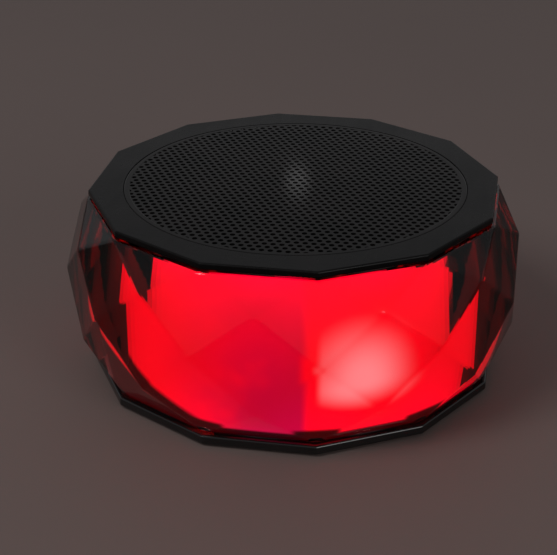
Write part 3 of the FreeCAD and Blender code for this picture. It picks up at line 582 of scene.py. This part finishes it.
def punchedPanel(low, high):
    radius = high.x
    pitch = sheet["pitch"]
    row = pitch * math.sqrt(3.0) / 2
    clearSelection()
    bpy.ops.mesh.primitive_circle_add(vertices=6, radius=pitch / math.sqrt(3.0), location=(0, 0, 0))
    panel = bpy.context.object
    bpy.ops.object.mode_set(mode="EDIT")
    bpy.ops.mesh.select_all(action="SELECT")
    bpy.ops.mesh.subdivide(number_cuts=1)
    bpy.ops.mesh.primitive_circle_add(vertices=sheet["holeSides"], radius=sheet["hole"], location=(0, 0, 0))
    bpy.ops.mesh.select_all(action="SELECT")
    bpy.ops.mesh.bridge_edge_loops()
    bpy.ops.mesh.select_all(action="SELECT")
    bpy.ops.mesh.duplicate()
    bpy.ops.transform.translate(value=(pitch / 2, row, 0))
    bpy.ops.object.mode_set(mode="OBJECT")
    across = int(2 * radius / pitch) + 2
    along = int(radius / row) + 2
    repeatTile(panel, across, (pitch, 0, 0))
    repeatTile(panel, along, (0, 2 * row, 0))
    panel.location = (-(across // 2) * pitch, -(along // 2) * 2 * row, high.z - sheet["sunk"])
    settle(panel)
    makeActive(panel)
    bpy.ops.object.mode_set(mode="EDIT")
    bpy.ops.mesh.select_all(action="SELECT")
    bpy.ops.mesh.remove_doubles(threshold=pitch * sheet["weld"])
    bpy.ops.mesh.normals_make_consistent(inside=False)
    bpy.ops.mesh.select_all(action="DESELECT")
    bpy.ops.object.mode_set(mode="OBJECT")
    inside = radius - sheet["rim"] * sheet["rimLap"]
    for face in panel.data.polygons:
        face.select = math.hypot(face.center.x, face.center.y) > inside
    bpy.ops.object.mode_set(mode="EDIT")
    bpy.ops.mesh.delete(type="FACE")
    bpy.ops.object.mode_set(mode="OBJECT")
    if sum(face.normal.z for face in panel.data.polygons) < 0:
        bpy.ops.object.mode_set(mode="EDIT")
        bpy.ops.mesh.select_all(action="SELECT")
        bpy.ops.mesh.flip_normals()
        bpy.ops.object.mode_set(mode="OBJECT")
    applyModifier(panel, "SOLIDIFY", thickness=high.z - low.z - 2 * sheet["sunk"], offset=-1.0)
    return panel


def grilleRim(low, high):
    clearSelection()
    bpy.ops.mesh.primitive_circle_add(vertices=sheet["rimSides"], radius=high.x, location=(0, 0, low.z))
    rim = bpy.context.object
    bpy.ops.object.mode_set(mode="EDIT")
    bpy.ops.mesh.primitive_circle_add(vertices=sheet["rimSides"], radius=high.x - sheet["rim"],
                                      location=(0, 0, low.z))
    bpy.ops.mesh.select_all(action="SELECT")
    bpy.ops.mesh.bridge_edge_loops()
    bpy.ops.mesh.select_all(action="SELECT")
    bpy.ops.mesh.extrude_region_move(TRANSFORM_OT_translate={"value": (0, 0, high.z - low.z)})
    evenNormals()
    settle(rim)
    bevelEdges(rim, sheet["rimEdge"], sheet["rimAngle"])
    return rim


def grilleSheet():
    low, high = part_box("speaker_grille")
    panel = punchedPanel(low, high)
    rim = grilleRim(low, high)
    clearSelection()
    rim.select_set(True)
    panel.select_set(True)
    bpy.context.view_layer.objects.active = panel
    bpy.ops.object.join()
    finishPiece(panel, "grilleSheet", "housing", finishes["grilleCoat"])
    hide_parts("speaker_grille")
    print("grille:", len(panel.data.polygons), "faces")


grilleSheet()

# raised marks on the keys: bars, a triangle and a sun
markShape = dict(long=0.0026, stroke=0.0005, proud=0.00012, sunk=0.0001, edge=0.00006, edgeAngle=40.0,
                 playShift=2, pauseShifts=(1.2, 2.8), pauseScale=0.8, disc=0.0006, discSides=20, rays=8,
                 rayFrom=0.0013, raySides=12)


def addBar(x, y, z, wide, tall):
    bpy.ops.mesh.primitive_cube_add(size=1.0, location=(0, 0, 0))
    bpy.ops.transform.resize(value=(wide, markShape["proud"] + markShape["sunk"], tall))
    bpy.ops.transform.translate(value=(x, y, z))


def addDisc(x, y, z, radius, sides, turn=0.0):
    bpy.ops.mesh.primitive_cylinder_add(vertices=sides, radius=radius, location=(x, y, z),
                                        depth=markShape["proud"] + markShape["sunk"],
                                        rotation=(math.pi / 2, turn, 0))


def pickFaces(piece, wanted):
    bpy.ops.mesh.select_mode(type="FACE")
    bpy.ops.mesh.select_all(action="DESELECT")
    bpy.ops.object.mode_set(mode="OBJECT")
    for face in piece.data.polygons:
        face.select = wanted(face)
    bpy.ops.object.mode_set(mode="EDIT")


def isArmRoot(face, x, z, right, up):
    across = (face.center.x - x) * up + (face.center.z - z) * right
    outward = face.normal.x * right + face.normal.z * up
    return outward > 0.9 and abs(across) < markShape["stroke"] / 4


def addArms(mark, x, y, z, directions):
    # a small block drawn out into bars on the sides that are asked for
    stroke = markShape["stroke"]
    reach = (markShape["long"] - stroke) / 2
    addBar(x, y, z, stroke, stroke)
    for right, up in directions:
        pickFaces(mark, lambda face: isArmRoot(face, x, z, right, up))
        bpy.ops.mesh.extrude_region_move(TRANSFORM_OT_translate={"value": (right * reach, 0, up * reach)})


def addPlayPause(x, y, z):
    long, stroke, scale = markShape["long"], markShape["stroke"], markShape["pauseScale"]
    addDisc(x + stroke * markShape["playShift"], y, z, long / 2, 3, -math.pi / 2)
    for shift in markShape["pauseShifts"]:
        addBar(x - stroke * shift, y, z, stroke * scale, long * scale)


def addSun(x, y, z):
    addDisc(x, y, z, markShape["disc"], markShape["discSides"])
    for index in range(markShape["rays"]):
        turn = index * 2 * math.pi / markShape["rays"]
        right, up = markShape["rayFrom"] * math.cos(turn), markShape["rayFrom"] * math.sin(turn)
        addDisc(x + right, y, z + up, markShape["stroke"] / 2, markShape["raySides"])


def keyMark(key):
    low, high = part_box(key + "_button")
    x, z = (low.x + high.x) / 2, (low.z + high.z) / 2
    y = high.y + (markShape["proud"] - markShape["sunk"]) / 2
    clearSelection()
    bpy.ops.mesh.primitive_cube_add(size=0.001)  # only for its empty mesh
    mark = bpy.context.object
    bpy.ops.object.mode_set(mode="EDIT")
    bpy.ops.mesh.select_all(action="SELECT")
    bpy.ops.mesh.delete(type="VERT")
    if key == "minus":
        addArms(mark, x, y, z, ((1, 0), (-1, 0)))
    if key == "plus":
        addArms(mark, x, y, z, ((1, 0), (-1, 0), (0, 1), (0, -1)))
    if key == "play":
        addPlayPause(x, y, z)
    if key == "light":
        addSun(x, y, z)
    evenNormals()
    settle(mark)
    bevelEdges(mark, markShape["edge"], markShape["edgeAngle"])
    finishPiece(mark, key + "Mark", key + "_key", finishes["markWhite"])


for key in keys:
    keyMark(key)
print("key marks:", len(keys))

# table, lamps and camera
studio = dict(tableSize=12.0, tableColour=(0.105, 0.075, 0.068), tableDrift=0.97, driftScale=6.0, tableRough=0.7,
              worldColour=(0.5, 0.5, 0.51), worldStrength=0.55)
lamps = {
    "keyLamp": dict(place=(-0.55, -0.5, 0.85), target=(0, 0, 0.02), size=0.5, power=5.5),
    "fillLamp": dict(place=(0.85, -0.8, 0.5), target=(0, 0, 0.02), size=0.6, power=4.0),
    "glintLamp": dict(place=(-0.1185, 0.731, 0.353), target=(0.003, 0.005, 0.049), size=0.02, power=0.0006),
}


def darkTable():
    clearSelection()
    bpy.ops.mesh.primitive_plane_add(size=studio["tableSize"], location=(0, 0, 0))
    table = bpy.context.object
    table.name = "darkTable"
    material, tree, shader = startMaterial("darkTable")
    colour = studio["tableColour"]
    addTint(tree, shader, studio["driftScale"], colour, [part * studio["tableDrift"] for part in colour])
    shader.inputs["Roughness"].default_value = studio["tableRough"]
    dress(table, material)


def softLamp(name, place, target, size, power):
    data = bpy.data.lights.new(name, "AREA")
    data.shape = "DISK"
    data.size = size
    data.energy = power
    lamp = bpy.data.objects.new(name, data)
    bpy.context.scene.collection.objects.link(lamp)
    lamp.location = place
    lamp.rotation_euler = (Vector(target) - Vector(place)).to_track_quat("-Z", "Y").to_euler()


def studioWorld():
    world = bpy.data.worlds.new("studioWorld")
    world.use_nodes = True
    back = world.node_tree.nodes["Background"]
    back.inputs["Color"].default_value = opaque(studio["worldColour"])
    back.inputs["Strength"].default_value = studio["worldStrength"]
    bpy.context.scene.world = world


darkTable()
studioWorld()
for name, values in lamps.items():
    softLamp(name, **values)

# camera fitted to the photograph: where the base's centre falls in the 557 by 555 frame
shot = dict(azimuth=9.33, elevation=28.91, distance=0.4002, width=557, height=555, originX=294.87, originY=348.72,
            focalPixels=1463.9, sensor=36.0, nearest=0.01)


def photoCamera():
    data = bpy.data.cameras.new("photoCamera")
    camera = bpy.data.objects.new("photoCamera", data)
    bpy.context.scene.collection.objects.link(camera)
    turn = math.radians(shot["azimuth"])
    rise = math.radians(shot["elevation"])
    back = Vector((math.sin(turn) * math.cos(rise), -math.cos(turn) * math.cos(rise), math.sin(rise)))
    right = Vector((math.cos(turn), math.sin(turn), 0.0))
    up = back.cross(right)
    perPixel = shot["distance"] / shot["focalPixels"]
    aim = -right * (shot["originX"] - shot["width"] / 2) * perPixel
    aim += up * (shot["originY"] - shot["height"] / 2) * perPixel
    camera.location = back * shot["distance"]
    camera.rotation_euler = (aim - camera.location).to_track_quat("-Z", "Y").to_euler()
    data.sensor_width = shot["sensor"]
    data.lens = shot["sensor"] * shot["focalPixels"] / shot["width"]
    data.clip_start = shot["nearest"]
    bpy.context.scene.camera = camera


photoCamera()
bpy.context.scene.view_settings.view_transform = "Standard"
print("stage, lamps and camera set")
